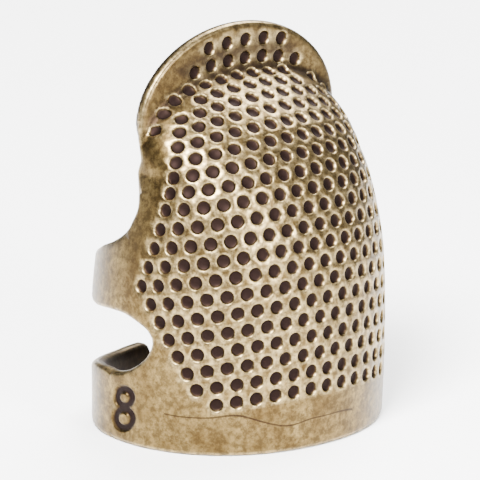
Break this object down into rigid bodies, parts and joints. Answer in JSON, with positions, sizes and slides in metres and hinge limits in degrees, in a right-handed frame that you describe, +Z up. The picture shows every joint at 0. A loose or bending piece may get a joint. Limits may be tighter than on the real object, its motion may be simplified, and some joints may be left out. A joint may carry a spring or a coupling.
{
  "type": "thimble",
  "caption": "Open-backed adjustable metal thimble: a dimpled fingertip shield with a raised needle lip and bendable arms that wrap round the back of the finger.",
  "frame": {"origin": "centre of the bounding box at the height of the ring's flat bottom edge", "axes": "+Z runs up the finger from the ring to the tip lip; the dimpled pad side faces -Y, the open nail side faces +Y, +X completes the frame"},
  "size_m": [0.0198, 0.0164, 0.0256],
  "materials": {
    "antique_brass": "antiqued and hand-worn, dark patina in the hollows"
  },
  "bodies": {
    "shield": {"finger_shield": "antique_brass", "tip_flange": "antique_brass"},
    "left_band": {"lower_band_left": "antique_brass"},
    "right_band": {"lower_band_right": "antique_brass"},
    "left_wing": {"upper_wing_left": "antique_brass"},
    "right_wing": {"upper_wing_right": "antique_brass"}
  },
  "joints": [
    {"name": "left_band_bend", "type": "hinge", "parent": "shield", "child": "left_band", "pos_m": [-0.00932, 0.001, 0.002], "axis": [0, 0, 1], "range_deg": [-6, 12]},
    {"name": "right_band_bend", "type": "hinge", "parent": "shield", "child": "right_band", "pos_m": [0.00932, 0.001, 0.002], "axis": [0, 0, -1], "range_deg": [-6, 12]},
    {"name": "left_wing_bend", "type": "hinge", "parent": "shield", "child": "left_wing", "pos_m": [-0.0087, 0.001, 0.0107], "axis": [0, 0, 1], "range_deg": [-6, 12]},
    {"name": "right_wing_bend", "type": "hinge", "parent": "shield", "child": "right_wing", "pos_m": [0.0087, 0.001, 0.0107], "axis": [0, 0, -1], "range_deg": [-6, 12]}
  ]
}
